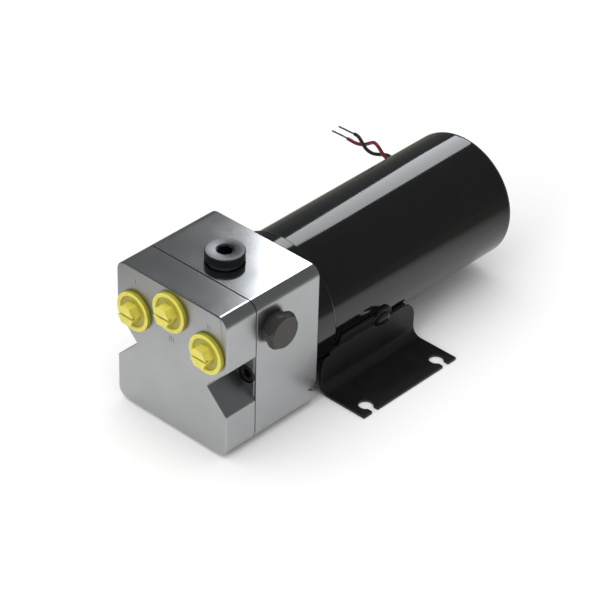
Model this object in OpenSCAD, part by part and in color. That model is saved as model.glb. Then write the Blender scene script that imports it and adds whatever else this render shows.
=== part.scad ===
// Reversible hydraulic power unit: two-piece aluminium block with an external gear pump and a
// pilot-operated double check valve, driven by a permanent-magnet motor on a sheet-metal foot.
// Origin: centre of the foot's four keyholes, on the mounting plane. +Y runs along the motor
// axis from the port face to the motor's rear, +X is the side of the first cross plug, +Z is up.

/* [Block] */
// Width of the port block and the pump block
block_w = 64; // [63:0.5:66]
// Height of both blocks
block_h = 70; // [69.5:0.5:72]
// Depth of the front port block
port_block_d = 17; // [17:0.5:19]
// Depth of the pump block
pump_block_d = 38; // [38:0.5:40]
// Radius of the blocks' four long edges
edge_r = 5; // [3:0.5:6]
// Gap between the block's underside and the mounting plane
block_lift = 1.5; // [1:0.25:2]
// Distance from the port face back to the middle of the foot
foot_setback = 92; // [92:1:94]
// Height of the motor axis above the mounting plane
axis_z = 34; // [33.75:0.25:34.5]
// Depth of the V-shaped notch in each side of the port block
notch_depth = 11.3; // [10.5:0.1:11.5]
// Size of the small drain notch at the pump block's rear edge
drain_w = 5; // [4:0.5:5.5]

/* [Ports] */
// Sideways distance of the two working ports from the middle
port_x = 21.2; // [20.8:0.2:21.6]
// Height of the two working ports
port_z = 50.7; // [50:0.1:51.5]
// Height of the tank port
tank_z = 60.6; // [60:0.2:61]
// Radius of the port threads
port_r = 6.5; // [6.4:0.05:6.6]
// Depth of the ports
port_depth = 12; // [11.8:0.1:12.2]
// Radius of the port plugs' flange
plug_flange_r = 9.25; // [9:0.25:10]
// How far the port plugs' hexagon stands out of the port face
plug_head = 6; // [5:0.2:7]

/* [Pump] */
// Gear module
gear_m = 1.25; // [1.25:0.01:1.27]
// Teeth on each gear
gear_teeth = 12; // [12:1:12]
// Width of the gears
gear_w = 10; // [9:0.5:10]
// Radius of the two pump shafts and of the motor shaft
shaft_r = 4; // [3.8:0.05:4]
// Outer radius of the bearing bushes
bush_r = 7; // [6.5:0.25:7]

/* [Valves] */
// Distance of the cross bore from the port face
cross_back = 28; // [27.5:0.25:28.5]
// Height of the cross bore
cross_z = 55.2; // [55:0.1:55.5]
// Distance of the top plug from the port face
top_plug_back = 31.4; // [31:0.2:32]
// Radius of the top plug's collar
top_collar_r = 8.75; // [8:0.25:9]
// Width across flats of the side plugs' hexagon
side_hex = 15; // [13:0.5:15.5]
// Travel of the pilot spool each way
spool_travel = 1.4; // [1:0.1:1.4]

/* [Motor] */
// Outer radius of the motor can
can_r = 30; // [29.8:0.1:30.2]
// Wall of the motor can
can_wall = 2.4; // [2:0.1:2.4]
// Length from the pump block's rear face to the motor's rear
motor_len = 131; // [130:1:136]
// Outer radius of the motor's front flange
flange_r = 31.8; // [31:0.2:32]
// Length of the motor's front flange
flange_len = 12; // [12:0.5:12.5]
// Radius of the can's rear edge
can_edge_r = 3.2; // [2.5:0.1:4]
// Outer radius of the armature core
core_r = 21.7; // [20:0.1:21.8]
// Slots in the armature core
core_slots = 12; // [10:1:14]

/* [Foot] */
// Thickness of the foot's sheet metal
foot_t = 1.5; // [1.5:0.25:2]
// Length of the foot along the motor axis
foot_len = 60; // [58:1:60]
// Distance from the motor axis to the outer edge of each foot
foot_reach = 53.4; // [53:0.2:55]
// Distance from the motor axis to the outside of the foot's upright wall
foot_wall_x = 28.4; // [28:0.1:28.8]
// Sideways distance between the keyholes
hole_span_x = 96; // [96:0.5:97]
// Lengthwise distance between the keyholes
hole_span_y = 46; // [44:0.5:46]
// Radius of the keyholes
hole_r = 3.3; // [3.1:0.1:3.4]
// Width of the slot from each keyhole to the edge
slot_w = 3.5; // [3:0.25:4]

/* [Hidden] */
$fn = 64;

// Planes along the motor axis, from the port face back
face_y = -foot_setback;
seam_y = face_y + port_block_d;
pump_rear_y = seam_y + pump_block_d;
can_front_y = pump_rear_y + flange_len;
can_rear_y = pump_rear_y + motor_len;
cross_y = face_y + cross_back;
top_plug_y = face_y + top_plug_back;

block_top = block_lift + block_h;
half_w = block_w / 2;
notch_x = half_w - notch_depth;
fit = 0.02;        // gap of a pressed or screwed-in piece
eps = 0.5;         // overrun of a cutting tool past a face
notch_over = 2;    // overrun of the notch's cutter past the side
passage_r = 2.5;   // fluid passages between the blocks
groove_d = 1.2;    // depth of the seal grooves in the seam
seal_gap = 0.1;    // gap between a seal and the walls of its groove

// Gears
pitch_r = gear_m * gear_teeth / 2;
tip_r = pitch_r + 0.9 * gear_m;
root_r = pitch_r - 1.25 * gear_m;
base_r = pitch_r * cos(20);
flank_slack = 0.6;            // degrees taken off each flank for backlash
driven_z = axis_z - 2 * pitch_r;
gear_room = 0.3;              // radial gap between gear tips and pocket
gear_side = 0.1;              // gap beside the gears
gear_back_y = seam_y + gear_w + 2 * gear_side;
bush_len = 8;
bush_bore_r = shaft_r + 0.04;
end_play = 0.2;
track_out_r = 12.6;           // face seal groove round the gear pockets
track_in_r = 10.4;
ring_out_r = 4.8;             // seal groove round each port passage
ring_in_r = 3.2;
shaft_seal_r = 9;
shaft_seal_back = 10;         // from the gear pocket to the shaft seal's bore
shaft_seal_w = 5;
coupling_r = 8;
coupling_back = 10;           // how far the coupling reaches into the pump block
coupling_room_r = 14;
coupling_room = 12;

// Port plugs
port_lead_in = 0.8;
plug_flange_t = 1.2;
plug_rim_w = 2;
plug_rim_h = 0.8;
plug_hex = 8;
plug_hex_turn = -4;
driver_slot_w = 1.4;
driver_slot_d = 2.2;

// Screws
m5_r = 2.5;
m5_hole_r = 2.7;
m5_tap_r = 2.55;
m5_head_r = 4.25;
m5_head_h = 5;
block_screw_x = 26.7;
block_sink_r = 4.45;
block_sink = 5.2;             // the block screws' heads lie just below the pump block's face
corner_x = 25.5;
corner_zs = [block_lift + 6.5, block_top - 6.5];
corner_sink_r = 4.6;
corner_sink = 6;
corner_tap = 9;
block_screw_reach = 9;        // how far the block screws go into the motor flange
head_edge = 0.4;              // chamfer on screw and plug heads
m5_key = 4;
m5_key_d = 2.5;
pin_x = 25.5;
pin_z = 20;
pin_r = 2.5;
pin_half = 5;

// Valves
cross_r = 6.5;
plug_shank_r = 6.3;
side_shank = 8.5;
seal_t = 0.8;
seat_in = 8;
seat_out = 13;
seat_hole_r = 2.2;
poppet_len = 5;
poppet_r = 4.5;
poppet_tail = 1.2;
spool_half = 4;
spool_rod_r = 1.5;
spool_reach = 11;
side_collar_r = 8.4;
side_collar_t = 1.4;
side_hex_t = 4.2;
side_hex_turn = -17;
side_edge = 1;                // height of the bevel on the side plugs' hexagon
collar_t = 3.8;               // height of the top plug's collar above its seal
top_key = 6;
top_shank = 7;
filler_r = 2.2;
filler_d = 8.5;
feed_x = 6.5;
feed_r = 1.5;
relief_x = 16.5;
relief_z = 24;
relief_r = 3.1;
relief_seat_r = 1.6;
relief_feed_r = 1.2;
relief_drill = 4;
drain_d = 1.5;
drain_up = 9;
relief_ball_r = 2.5;
relief_ball_y = seam_y - 2;
relief_end_y = seam_y - 12;

// Motor
can_in_r = can_r - can_wall;
air_gap_r = 22.5;
register_len = 3;             // how far the flange reaches into the can
flange_bore_r = 10;
bearing_r = 11;
bearing_w = 7;
bearing_outer_in_r = 9.2;
bearing_inner_out_r = 5.8;
ball_r = 1.6;
balls = 7;
front_bearing_y = can_front_y - 8;
rear_bearing_y = can_rear_y - 11;
shaft_front_y = pump_rear_y - 3;
core_y = -2;
core_len = 52;
comm_y = 61;
comm_r = 9;
comm_len = 11.5;
slot_mid_r = 16.5;            // middle of the armature slots' round ends
slot_end_r = 2.4;
slot_mouth = 1.8;
plate_y = 73;
plate_t = 1.8;
guide_wall = 1.1;
brush_x = 8.5;                // inner end of the right brush
brush_side = 7.8;
brush_len = 10;
brush_mid_y = plate_y - brush_side / 2 - guide_wall;
guide_end_x = 24;             // closed outer end of the brush guides
magnet_y = -8;
magnet_len = 66;
magnet_half = 58;             // half the angle that each magnet spans
tie_z = 23.8;
tie_r = 1.75;
tie_head_r = 3;

// Foot
wall_in_x = foot_wall_x - foot_t;
saddle_r = can_r + 0.05;
saddle_out_r = can_r + 1.5;
saddle_front_y = can_front_y + 0.5;
saddle_rear_y = 24;
saddle_edge = 26;             // angle below the axis at which the saddle ends
tab_front_y = -19.6;
tab_rear_y = 1.2;
tab_edge = 14;
ear_y = 7.4;
ear_angle = 23;
ear_r = 6;
ear_hole_r = 2.1;
ear_screw_r = 1.9;
ear_head_r = 3.8;
ear_head_t = 1.1;

// Leads: hand-laid routes of the two leads, from the grommet outwards
lead_r = 0.85;
lead_core_r = 0.45;
grommet_angle = 160;
grommet_y = 78;
grommet_r = 3;
grommet_head_r = 4.3;
red_route = [
    [-29.5, 76.8, 44.7], [-31, 76.7, 45.3], [-32.8, 76.6, 46.2], [-34.6, 76.7, 47.5], [-36.4, 77, 48.7],
    [-38.2, 77.6, 49.1], [-40, 78.4, 48.9], [-41.8, 79.1, 48.1], [-43.6, 79.6, 46.9], [-45.4, 79.7, 45.6],
    [-47.2, 79.6, 44.5], [-49, 79.2, 43.8], [-51, 78.7, 43.6], [-53, 78.3, 43.8], [-55, 78.1, 44.1],
    [-57, 78, 44.3], [-57.2, 78, 44.3], [-60, 78, 44.4], [-63, 78, 44.3], [-66, 78, 44.2]
];
black_route = [
    [-29.5, 79.2, 44.7], [-31, 79.2, 45.1], [-32.8, 79.3, 45.1], [-34.6, 79.2, 44.7], [-36.4, 78.8, 44.2],
    [-38.2, 78.1, 43.8], [-40, 77.3, 43.8], [-41.8, 76.7, 44.3], [-43.6, 76.3, 45.3], [-45.4, 76.4, 46.6],
    [-47.2, 76.8, 47.8], [-49, 77.4, 48.5], [-51, 77.9, 48.6], [-52.8, 78, 48.5], [-53, 78, 48.5],
    [-56, 78, 48.4], [-59, 78, 48.4], [-62, 78, 48.3]
];

// ---- shared shapes -------------------------------------------------------------------------

module rod_y(r, y0, y1, x = 0, z = axis_z) {
    translate([x, y0, z]) rotate([-90, 0, 0]) cylinder(r = r, h = y1 - y0);
}

module cone_y(r0, r1, y0, y1, x = 0, z = axis_z) {
    translate([x, y0, z]) rotate([-90, 0, 0]) cylinder(r1 = r0, r2 = r1, h = y1 - y0);
}

module rod_x(r, x0, x1, y, z) {
    translate([x0, y, z]) rotate([0, 90, 0]) cylinder(r = r, h = x1 - x0);
}

module rod_z(r, z0, z1, x, y) {
    translate([x, y, z0]) cylinder(r = r, h = z1 - z0);
}

module tube_y(ro, ri, y0, y1, x = 0, z = axis_z) {
    difference() {
        rod_y(ro, y0, y1, x, z);
        rod_y(ri, y0 - eps, y1 + eps, x, z);
    }
}

module tube_x(ro, ri, x0, x1, y, z) {
    difference() {
        rod_x(ro, x0, x1, y, z);
        rod_x(ri, x0 - eps, x1 + eps, y, z);
    }
}

// Extrudes a flat shape, drawn as seen from the port face, from y0 to y1
module along_y(y0, y1) {
    translate([0, y1, 0]) rotate([90, 0, 0]) linear_extrude(y1 - y0) children();
}

module hex_2d(flats) {
    circle(r = flats / sqrt(3), $fn = 6);
}

module on_both_sides() {
    children();
    mirror([1, 0, 0]) children();
}

// Outline of both blocks: a rectangle with rounded corners
module block_outline() {
    low = block_lift + edge_r;
    high = block_top - edge_r;
    in_x = half_w - edge_r;
    translate([-half_w, low]) square([block_w, high - low]);
    translate([-in_x, block_lift]) square([2 * in_x, block_h]);
    for (sx = [-1, 1], z = [low, high])
        translate([sx * in_x, z]) circle(r = edge_r);
}

// Racetrack round both gear pockets
module gear_track(r) {
    translate([0, axis_z]) circle(r = r);
    translate([0, driven_z]) circle(r = r);
    translate([-r, driven_z]) square([2 * r, axis_z - driven_z]);
}

// ---- port block ----------------------------------------------------------------------------

module port_places() {
    for (p = [[-port_x, port_z], [0, tank_z], [port_x, port_z]])
        translate([p[0], 0, p[1]]) children();
}

module port_block() {
    color([0.70, 0.72, 0.73])
    difference() {
        along_y(face_y, seam_y) block_outline();
        on_both_sides()
            along_y(face_y - eps, seam_y + eps)
            polygon([[notch_x, axis_z], [half_w + notch_over, axis_z + notch_depth + notch_over],
                     [half_w + notch_over, axis_z - notch_depth - notch_over]]);
        port_places() {
            rod_y(port_r, face_y - eps, face_y + port_depth, 0, 0);
            cone_y(port_r + port_lead_in, port_r, face_y, face_y + port_lead_in, 0, 0);
            rod_y(passage_r, face_y, seam_y + eps, 0, 0);
        }
        for (z = [axis_z, driven_z])
            rod_y(bush_r, seam_y - bush_len - end_play, seam_y + eps, 0, z);
        for (sx = [-1, 1]) {
            rod_y(relief_r, relief_end_y, seam_y + eps, sx * relief_x, relief_z);
            rod_y(pin_r, seam_y - pin_half, seam_y + eps, sx * pin_x, pin_z);
            for (z = corner_zs)
                rod_y(m5_tap_r, seam_y - corner_tap, seam_y + eps, sx * corner_x, z);
        }
    }
}

// Transport plug: threaded shank, rimmed flange and a hexagon head with a screwdriver slot
module port_plug(x, z) {
    flange_y = face_y - plug_flange_t;
    head_y = face_y - plug_head;
    color([0.80, 0.76, 0.22])
    translate([x, 0, z]) {
        rod_y(plug_shank_r, face_y, face_y + port_depth - 1, 0, 0);
        rod_y(plug_flange_r, flange_y, face_y, 0, 0);
        tube_y(plug_flange_r, plug_flange_r - plug_rim_w, flange_y - plug_rim_h, flange_y, 0, 0);
        difference() {
            along_y(head_y, flange_y) rotate(plug_hex_turn) hex_2d(plug_hex);
            translate([-plug_hex, head_y - eps, -driver_slot_w / 2])
                cube([2 * plug_hex, driver_slot_d + eps, driver_slot_w]);
        }
    }
}

module port_plug_left() { port_plug(-port_x, port_z); }
module port_plug_tank() { port_plug(0, tank_z); }
module port_plug_right() { port_plug(port_x, port_z); }

// ---- pump block ----------------------------------------------------------------------------

module pump_block() {
    color([0.72, 0.73, 0.73])
    difference() {
        along_y(seam_y, pump_rear_y) block_outline();
        // gear pockets, bush bores, seal bore and coupling room
        for (z = [axis_z, driven_z]) {
            rod_y(tip_r + gear_room, seam_y - eps, gear_back_y, 0, z);
            rod_y(bush_r, gear_back_y - eps, gear_back_y + bush_len, 0, z);
        }
        rod_y(shaft_r + 0.5, gear_back_y, pump_rear_y);
        rod_y(shaft_seal_r, gear_back_y + shaft_seal_back, pump_rear_y);
        rod_y(coupling_room_r, pump_rear_y - coupling_room, pump_rear_y + eps);
        // grooves of the face seals
        along_y(seam_y - eps, seam_y + groove_d) difference() {
            gear_track(track_out_r);
            gear_track(track_in_r);
        }
        port_places() {
            tube_y(ring_out_r, ring_in_r, seam_y - eps, seam_y + groove_d, 0, 0);
            rod_y(passage_r, seam_y - eps, cross_y, 0, 0);
        }
        // cross bore, its feeds from the gear pockets and the relief passages
        rod_x(cross_r, -half_w - eps, half_w + eps, cross_y, cross_z);
        for (sx = [-1, 1]) {
            rod_z(feed_r, axis_z + 2, cross_z - 3, sx * feed_x, seam_y + 6);
            rod_y(relief_seat_r, seam_y - eps, seam_y + relief_drill, sx * relief_x, relief_z);
            rod_x(relief_feed_r, sx > 0 ? feed_x : -relief_x, sx > 0 ? relief_x : -feed_x,
                  seam_y + relief_drill - 0.5, relief_z);
            rod_y(m5_hole_r, seam_y - eps, pump_rear_y + eps, sx * block_screw_x, axis_z);
            rod_y(block_sink_r, seam_y - eps, seam_y + block_sink, sx * block_screw_x, axis_z);
            rod_y(pin_r, seam_y - eps, seam_y + pin_half, sx * pin_x, pin_z);
            for (z = corner_zs) {
                rod_y(m5_hole_r, seam_y - eps, pump_rear_y, sx * corner_x, z);
                rod_y(corner_sink_r, pump_rear_y - corner_sink, pump_rear_y + eps, sx * corner_x, z);
            }
        }
        // filler port in the top
        rod_z(port_r, block_top - filler_d, block_top + eps, 0, top_plug_y);
        rod_z(filler_r, tank_z, block_top, 0, top_plug_y);
        // drain notches in the rear edges
        on_both_sides()
            translate([half_w - drain_d, pump_rear_y, block_lift + drain_up])
            rotate([0, 90, 0])
            linear_extrude(2 * drain_d)
            polygon([[-drain_w / 2, eps], [drain_w / 2, eps], [0, -drain_w * 0.9]]);
    }
}

module face_seal() {
    color([0.05, 0.05, 0.05])
    along_y(seam_y + fit, seam_y + groove_d - fit) difference() {
        gear_track(track_out_r - seal_gap);
        gear_track(track_in_r + seal_gap);
    }
}

module port_seals() {
    color([0.05, 0.05, 0.05])
    port_places()
        tube_y(ring_out_r - seal_gap, ring_in_r + seal_gap, seam_y + fit, seam_y + groove_d - fit, 0, 0);
}

module dowel_pins() {
    color([0.6, 0.6, 0.62])
    for (sx = [-1, 1])
        rod_y(pin_r - fit, seam_y - pin_half + 0.2, seam_y + pin_half - 0.2, sx * pin_x, pin_z);
}

// Socket cap screw along Y with its head's seat at seat_y and its tip at tip_y
module cap_screw(x, z, seat_y, tip_y) {
    toward = sign(tip_y - seat_y);
    translate([x, seat_y, z]) rotate([-90 * toward, 0, 0]) {
        cylinder(r = m5_r, h = abs(tip_y - seat_y));
        difference() {
            union() {
                translate([0, 0, -m5_head_h + head_edge]) cylinder(r = m5_head_r, h = m5_head_h - head_edge);
                translate([0, 0, -m5_head_h])
                    cylinder(r1 = m5_head_r - head_edge, r2 = m5_head_r, h = head_edge);
            }
            translate([0, 0, -m5_head_h - eps]) linear_extrude(m5_key_d + eps) hex_2d(m5_key);
        }
    }
}

module block_screws() {
    color([0.08, 0.08, 0.09])
    for (sx = [-1, 1])
        cap_screw(sx * block_screw_x, axis_z, seam_y + block_sink, pump_rear_y + block_screw_reach);
}

module corner_screws() {
    color([0.10, 0.10, 0.11])
    for (sx = [-1, 1], z = corner_zs)
        cap_screw(sx * corner_x, z, pump_rear_y - corner_sink, seam_y - corner_tap + 1);
}

// ---- plugs in the pump block ---------------------------------------------------------------

module top_plug() {
    collar_z = block_top + seal_t;
    edge_z = collar_z + collar_t;
    color([0.36, 0.37, 0.38])
    difference() {
        union() {
            rod_z(plug_shank_r, block_top - top_shank, collar_z, 0, top_plug_y);
            rod_z(top_collar_r, collar_z, edge_z, 0, top_plug_y);
            translate([0, top_plug_y, edge_z])
                cylinder(r1 = top_collar_r, r2 = top_collar_r - head_edge, h = head_edge);
        }
        translate([0, top_plug_y, block_top]) linear_extrude(collar_t + 2) hex_2d(top_key);
        translate([0, top_plug_y, edge_z - 0.1]) cylinder(r1 = top_key * 0.55, r2 = top_key * 0.65, h = 0.6);
    }
}

module top_plug_seal() {
    color([0.12, 0.12, 0.12])
    difference() {
        rod_z(top_collar_r - head_edge, block_top, block_top + seal_t, 0, top_plug_y);
        rod_z(plug_shank_r + seal_gap, block_top - eps, block_top + 2 * seal_t, 0, top_plug_y);
    }
}

module side_plug_right() {
    collar_x = half_w + seal_t;
    hex_x = collar_x + side_collar_t;
    edge_x = hex_x + side_hex_t - side_edge;
    color([0.28, 0.27, 0.26]) {
        rod_x(plug_shank_r, half_w - side_shank, collar_x, cross_y, cross_z);
        rod_x(side_collar_r, collar_x, hex_x, cross_y, cross_z);
        intersection() {
            translate([hex_x, cross_y, cross_z]) rotate([side_hex_turn, 0, 0]) rotate([0, 90, 0])
                linear_extrude(side_hex_t) hex_2d(side_hex);
            union() {
                rod_x(side_hex * 0.6, hex_x, edge_x, cross_y, cross_z);
                translate([edge_x, cross_y, cross_z]) rotate([0, 90, 0])
                    cylinder(r1 = side_hex * 0.6, r2 = side_hex * 0.48, h = side_edge);
            }
        }
    }
}

module side_plug_left() { mirror([1, 0, 0]) side_plug_right(); }

module side_plug_seals() {
    color([0.30, 0.30, 0.30])
    on_both_sides()
        tube_x(side_collar_r - head_edge, plug_shank_r + seal_gap, half_w, half_w + seal_t, cross_y, cross_z);
}

// ---- gear pump -----------------------------------------------------------------------------

function involute(a) = tan(a) * 180 / PI - a;
function half_tooth(r) = 90 / gear_teeth - flank_slack + involute(20) - involute(acos(base_r / r));
flank_radii = [for (i = [0:5]) base_r + (tip_r - base_r) * i / 5];
function polar(r, a) = [r * cos(a), r * sin(a)];
function tooth(c) = concat(
    [polar(root_r, c - half_tooth(base_r))],
    [for (r = flank_radii) polar(r, c - half_tooth(r))],
    [for (i = [5:-1:0]) polar(flank_radii[i], c + half_tooth(flank_radii[i]))],
    [polar(root_r, c + half_tooth(base_r))]);

// A gear in mesh: first is the angle of the middle of one tooth
module gear(z, first) {
    difference() {
        along_y(seam_y + gear_side, seam_y + gear_side + gear_w)
            translate([0, z])
            polygon([for (i = [0:gear_teeth - 1], p = tooth(first + i * 360 / gear_teeth)) p]);
        rod_y(shaft_r + fit, seam_y - eps, gear_back_y, 0, z);
    }
}

module drive_gear() { color([0.55, 0.56, 0.58]) gear(axis_z, 270); }
module driven_gear() { color([0.58, 0.58, 0.60]) gear(driven_z, 90 + 180 / gear_teeth); }

module drive_shaft() {
    color([0.62, 0.62, 0.64])
    rod_y(shaft_r, seam_y - bush_len, shaft_front_y - 2);
}

module driven_shaft() {
    color([0.62, 0.62, 0.64])
    rod_y(shaft_r, seam_y - bush_len, gear_back_y + bush_len - end_play, 0, driven_z);
}

module bush_pair(y0) {
    color([0.66, 0.50, 0.26])
    for (z = [axis_z, driven_z])
        tube_y(bush_r - fit, bush_bore_r, y0, y0 + bush_len, 0, z);
}

module front_bushes() { bush_pair(seam_y - bush_len); }
module rear_bushes() { bush_pair(gear_back_y); }

module shaft_seal() {
    color([0.10, 0.10, 0.10])
    tube_y(shaft_seal_r - fit, shaft_r + 0.06, gear_back_y + shaft_seal_back + eps,
           gear_back_y + shaft_seal_back + eps + shaft_seal_w);
}

module coupling() {
    color([0.50, 0.51, 0.52])
    tube_y(coupling_r, shaft_r + fit, pump_rear_y - coupling_back, pump_rear_y + 3);
}

// ---- double check valve and reliefs --------------------------------------------------------

module pilot_spool() {
    color([0.60, 0.60, 0.62]) {
        rod_x(cross_r - 0.05, -spool_half, spool_half, cross_y, cross_z);
        rod_x(spool_rod_r, -spool_reach, spool_reach, cross_y, cross_z);
    }
}

module check_seats() {
    color([0.66, 0.50, 0.26])
    on_both_sides() tube_x(cross_r - fit, seat_hole_r, seat_in, seat_out, cross_y, cross_z);
}

module check_poppet_right() {
    cone_x = seat_out + 0.05;
    tail_x = seat_out + poppet_len - poppet_tail;
    color([0.55, 0.55, 0.57]) {
        translate([seat_out - 0.5, cross_y, cross_z]) rotate([0, 90, 0])
            cylinder(r1 = 1.2, r2 = seat_hole_r - 0.3, h = 0.55);
        translate([cone_x, cross_y, cross_z]) rotate([0, 90, 0])
            cylinder(r1 = 3, r2 = poppet_r, h = 1.5);
        rod_x(poppet_r, cone_x + 1.5, tail_x, cross_y, cross_z);
        rod_x(1.8, tail_x, tail_x + poppet_tail, cross_y, cross_z);
    }
}

module check_poppet_left() { mirror([1, 0, 0]) check_poppet_right(); }

// Wire along a helix about +Z, with closed ends
module coil(r, wire, length, turns) {
    per_turn = 10;
    sides = 6;
    n = turns * per_turn;
    ring = [for (i = [0:n], k = [0:sides - 1])
        let (a = i * 360 / per_turn, b = k * 360 / sides, q = r + wire * cos(b))
        [q * cos(a), q * sin(a), wire + (length - 2 * wire) * i / n + wire * sin(b)]];
    skin = [for (i = [0:n - 1], k = [0:sides - 1])
        let (m = (k + 1) % sides)
        [i * sides + k, (i + 1) * sides + k, (i + 1) * sides + m, i * sides + m]];
    caps = [[for (k = [0:sides - 1]) k], [for (k = [sides - 1:-1:0]) n * sides + k]];
    polyhedron(points = ring, faces = concat(skin, caps));
}

module check_spring_right() {
    first = seat_out + poppet_len - poppet_tail + 0.05;
    color([0.65, 0.65, 0.67])
    translate([first, cross_y, cross_z]) rotate([0, 90, 0])
        coil(3.4, 0.45, half_w - side_shank - 0.05 - first, 4);
}

module check_spring_left() { mirror([1, 0, 0]) check_spring_right(); }

module relief_ball(sx) {
    color([0.70, 0.70, 0.72])
    translate([sx * relief_x, relief_ball_y, relief_z]) sphere(r = relief_ball_r);
}

module relief_ball_right() { relief_ball(1); }
module relief_ball_left() { relief_ball(-1); }

module relief_spring(sx) {
    color([0.65, 0.65, 0.67])
    translate([sx * relief_x, relief_end_y + 0.05, relief_z]) rotate([-90, 0, 0])
        coil(2, 0.4, relief_ball_y - relief_ball_r - relief_end_y - 0.1, 4);
}

module relief_spring_right() { relief_spring(1); }
module relief_spring_left() { relief_spring(-1); }

// ---- motor ---------------------------------------------------------------------------------

module motor_flange() {
    color([0.05, 0.05, 0.055])
    difference() {
        union() {
            rod_y(flange_r, pump_rear_y, can_front_y - 0.6);
            cone_y(flange_r, flange_r - 0.6, can_front_y - 0.6, can_front_y);
            rod_y(can_in_r - 0.05, can_front_y, can_front_y + register_len);
        }
        rod_y(flange_bore_r, pump_rear_y - eps, can_front_y);
        rod_y(bearing_r + fit, front_bearing_y - 0.2, can_front_y + 4);
        for (sx = [-1, 1])
            rod_y(m5_tap_r, pump_rear_y - eps, pump_rear_y + block_screw_reach + 0.5,
                  sx * block_screw_x, axis_z);
        for (sz = [-1, 1])
            rod_y(tie_r + 0.05, can_front_y - 7, can_front_y + 4, 0, axis_z + sz * tie_z);
    }
}

// Rod that runs outwards along +X from r0 to r1; turned about Y it stands radially on the can
module radial_rod(r, r0, r1) {
    translate([r0, 0, 0]) rotate([0, 90, 0]) cylinder(r = r, h = r1 - r0);
}

// Deep-drawn can: plain tube, closed rear end with a rounded edge and a bearing cup inside
module motor_can() {
    end_t = can_wall;
    color([0.04, 0.04, 0.045])
    difference() {
        union() {
            difference() {
                union() {
                    rod_y(can_r, can_front_y, can_rear_y - can_edge_r);
                    rod_y(can_r - can_edge_r, can_rear_y - can_edge_r, can_rear_y);
                    translate([0, can_rear_y - can_edge_r, axis_z]) rotate([-90, 0, 0])
                        rotate_extrude() translate([can_r - can_edge_r, 0]) circle(r = can_edge_r);
                }
                rod_y(can_in_r, can_front_y - eps, can_rear_y - end_t - 1);
                cone_y(can_in_r, can_in_r - 1, can_rear_y - end_t - 1, can_rear_y - end_t);
            }
            tube_y(bearing_r + 2, bearing_r + fit, rear_bearing_y, can_rear_y - end_t + 0.2);
        }
        // shallow pressed ring on the rear face
        tube_y(17, 15, can_rear_y - 0.5, can_rear_y + eps);
        for (sz = [-1, 1]) {
            rod_y(tie_r + 0.1, can_rear_y - 5, can_rear_y + eps, 0, axis_z + sz * tie_z);
            cone_y(tie_r + 0.1, tie_head_r + 0.1, can_rear_y - 1.5, can_rear_y, 0, axis_z + sz * tie_z);
        }
        translate([0, grommet_y, axis_z]) rotate([0, -grommet_angle, 0]) radial_rod(grommet_r + 0.05, 25, 32);
        for (a = [-ear_angle, 180 + ear_angle])
            translate([0, ear_y, axis_z]) rotate([0, -a, 0]) radial_rod(ear_screw_r + 0.05, 26, 32);
    }
}

// Long countersunk screws from the can's rear face into the flange
module tie_screws() {
    color([0.12, 0.12, 0.13])
    for (sz = [-1, 1])
        difference() {
            union() {
                rod_y(tie_r, can_front_y - 6, can_rear_y - 0.1, 0, axis_z + sz * tie_z);
                cone_y(tie_r, tie_head_r - 0.05, can_rear_y - 1.5, can_rear_y - 0.05, 0, axis_z + sz * tie_z);
            }
            translate([-4.5, can_rear_y - 0.8, axis_z + sz * tie_z - 0.4]) cube([9, 2, 0.8]);
        }
}

module magnets() {
    color([0.16, 0.16, 0.17])
    on_both_sides()
        along_y(magnet_y, magnet_y + magnet_len) translate([0, axis_z]) intersection() {
            difference() {
                circle(r = can_in_r - 0.1);
                circle(r = air_gap_r);
            }
            polygon([[0, 0], polar(40, -magnet_half), [60, 0], polar(40, magnet_half)]);
        }
}

module armature_shaft() {
    color([0.62, 0.62, 0.64])
    rod_y(shaft_r, shaft_front_y, can_rear_y - 5);
}

module armature_core() {
    color([0.33, 0.34, 0.36])
    along_y(core_y, core_y + core_len) translate([0, axis_z]) difference() {
        circle(r = core_r);
        circle(r = shaft_r + fit);
        for (i = [0:core_slots - 1])
            rotate([0, 0, i * 360 / core_slots]) {
                translate([slot_mid_r, 0]) circle(r = slot_end_r);
                translate([slot_mid_r, -slot_mouth / 2]) square([core_r - slot_mid_r + 1, slot_mouth]);
            }
    }
}

// Copper in the slots and the end turns at both ends of the core
module windings() {
    color([0.66, 0.34, 0.16]) {
        for (i = [0:core_slots - 1])
            translate([0, core_y - 1, axis_z]) rotate([0, i * 360 / core_slots, 0])
                translate([slot_mid_r, 0, 0]) rotate([-90, 0, 0])
                cylinder(r = slot_end_r - 0.2, h = core_len + 2);
        for (y = [core_y - 8, core_y + core_len + 0.5])
            tube_y(19, 7, y, y + 7.5);
    }
}

module commutator() {
    color([0.72, 0.45, 0.25])
    difference() {
        tube_y(comm_r, shaft_r + fit, comm_y, comm_y + comm_len);
        for (i = [0:core_slots - 1])
            translate([0, comm_y - eps, axis_z]) rotate([0, (i + 0.5) * 360 / core_slots, 0])
                translate([comm_r - 0.8, 0, -0.25]) cube([2, comm_len + 1, 0.5]);
    }
}

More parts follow.
